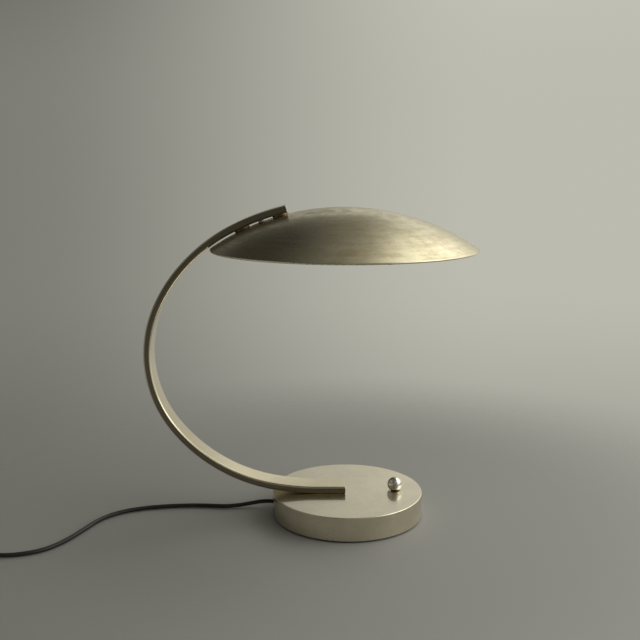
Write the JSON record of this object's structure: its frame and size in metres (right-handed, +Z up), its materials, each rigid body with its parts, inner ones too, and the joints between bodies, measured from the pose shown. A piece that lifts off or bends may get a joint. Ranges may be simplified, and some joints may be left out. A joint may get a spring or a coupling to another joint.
{
  "type": "arc table lamp",
  "caption": "Table lamp with a weighted drum base, a flat C-shaped arm and a shallow dome shade that slides along the arm's tip; a ball on the base is the push switch.",
  "frame": {"origin": "middle of the felt under the base, on the table top", "axes": "+Z up, +X from the arm towards the front of the shade, +Y across the arm"},
  "size_m": [0.6796, 0.4538, 0.406],
  "materials": {
    "satin_nickel": "satin nickel plate, warm tint",
    "shade_nickel": "satin nickel plate with a mottled patina, white paint inside",
    "polished_chrome": "polished",
    "zinc_steel": "zinc plated",
    "cast_weight": "raw casting",
    "green_felt": "dark felt",
    "black_rubber": "matte",
    "black_cord": "satin PVC",
    "black_tie": "satin",
    "black_plug": "moulded",
    "pin_metal": "nickel plated",
    "wire_insulation": "PVC",
    "bakelite": "moulded bakelite",
    "terminal_plastic": "moulded",
    "pad_brass": "turned brass",
    "bulb_glass": "frosted inside",
    "bulb_cap": "rolled thread"
  },
  "bodies": {
    "stand": {"base_shell": "satin_nickel", "arm_tube": "satin_nickel", "arm_foot_cap": "satin_nickel", "arm_tip_cap": "satin_nickel", "base_plate": "zinc_steel", "base_plate_screws": "zinc_steel", "foot_bolts": "zinc_steel", "foot_sleeves": "zinc_steel", "switch_nut": "zinc_steel", "arm_foot_block": "zinc_steel", "arm_tip_block": "zinc_steel", "clamp_stud": "zinc_steel", "clamp_washer": "zinc_steel", "spring_washer": "zinc_steel", "clamp_nut": "zinc_steel", "socket_bracket": "zinc_steel", "holder_nipples": "zinc_steel", "holder_nuts": "zinc_steel", "cord_clamp_screw": "zinc_steel", "base_weight": "cast_weight", "base_felt": "green_felt", "cord_grommet": "black_rubber", "wire_bush": "black_rubber", "cord_inner": "black_cord", "cord_free": "black_cord", "cord_coil": "black_cord", "cord_tie": "black_tie", "plug_body": "black_plug", "plug_pins": "pin_metal", "base_wires": "wire_insulation", "arm_lead": "wire_insulation", "holder_leads": "wire_insulation", "lampholder_near": "bakelite", "lampholder_far": "bakelite", "switch_body": "bakelite", "terminal_block": "terminal_plastic", "cord_clamp": "terminal_plastic", "glide_pads": "pad_brass", "bulb_glass_near": "bulb_glass", "bulb_glass_far": "bulb_glass", "bulb_cap_near": "bulb_cap", "bulb_cap_far": "bulb_cap"},
    "shade": {"shade": "shade_nickel"},
    "switch_button": {"switch_stem": "zinc_steel", "ball_knob": "polished_chrome"}
  },
  "joints": [
    {"name": "shade_slide", "type": "hinge", "parent": "stand", "child": "shade", "pos_m": [-0.00546, 0, 0.0996], "axis": [0, 1, 0], "range_deg": [-3.5, 3.5]},
    {"name": "switch_push", "type": "slide", "parent": "stand", "child": "switch_button", "axis": [0, 0, -1], "range_m": [0, 0.0012], "stiffness_N_per_m": 3000, "springref_m": -0.0005}
  ]
}
